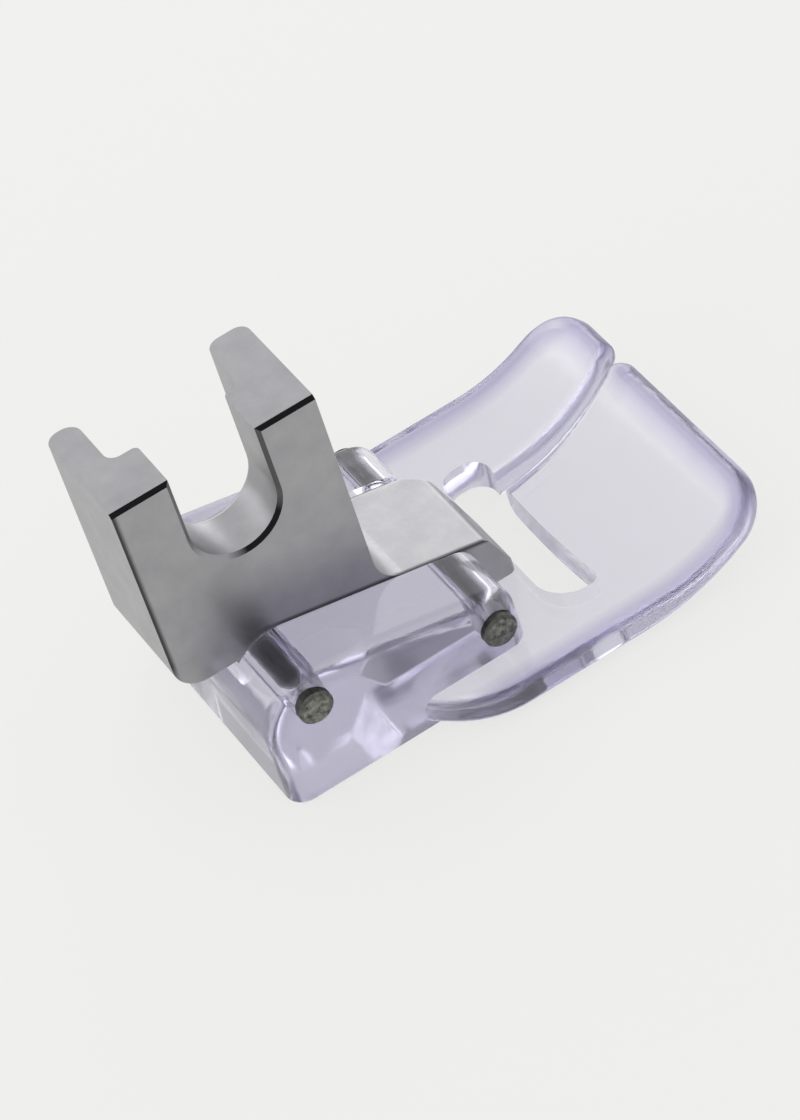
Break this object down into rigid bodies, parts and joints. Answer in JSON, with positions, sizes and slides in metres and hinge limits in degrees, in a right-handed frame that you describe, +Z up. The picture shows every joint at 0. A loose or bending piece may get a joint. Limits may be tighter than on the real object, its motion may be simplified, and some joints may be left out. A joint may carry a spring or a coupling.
{
  "type": "sewing machine presser foot",
  "caption": "Low-shank presser foot with a clear moulded sole, curled split toes, a wide needle slot and a slotted metal shank held by cross pins.",
  "frame": {"origin": "on the underside of the sole, on its centre line, straight below the axis of the clamp slot", "axes": "+X towards the toes, +Y towards the side where the presser bar stands, +Z up"},
  "size_m": [0.0283, 0.0192, 0.018],
  "materials": {
    "clear_plastic": "clear moulded plastic with a faint violet tint",
    "polished_steel": "satin plated steel",
    "pin_steel": "plain dark steel, cut ends"
  },
  "bodies": {
    "root": {"clear_sole": "clear_plastic", "shank": "polished_steel", "cross_pins": "pin_steel"}
  },
  "joints": []
}
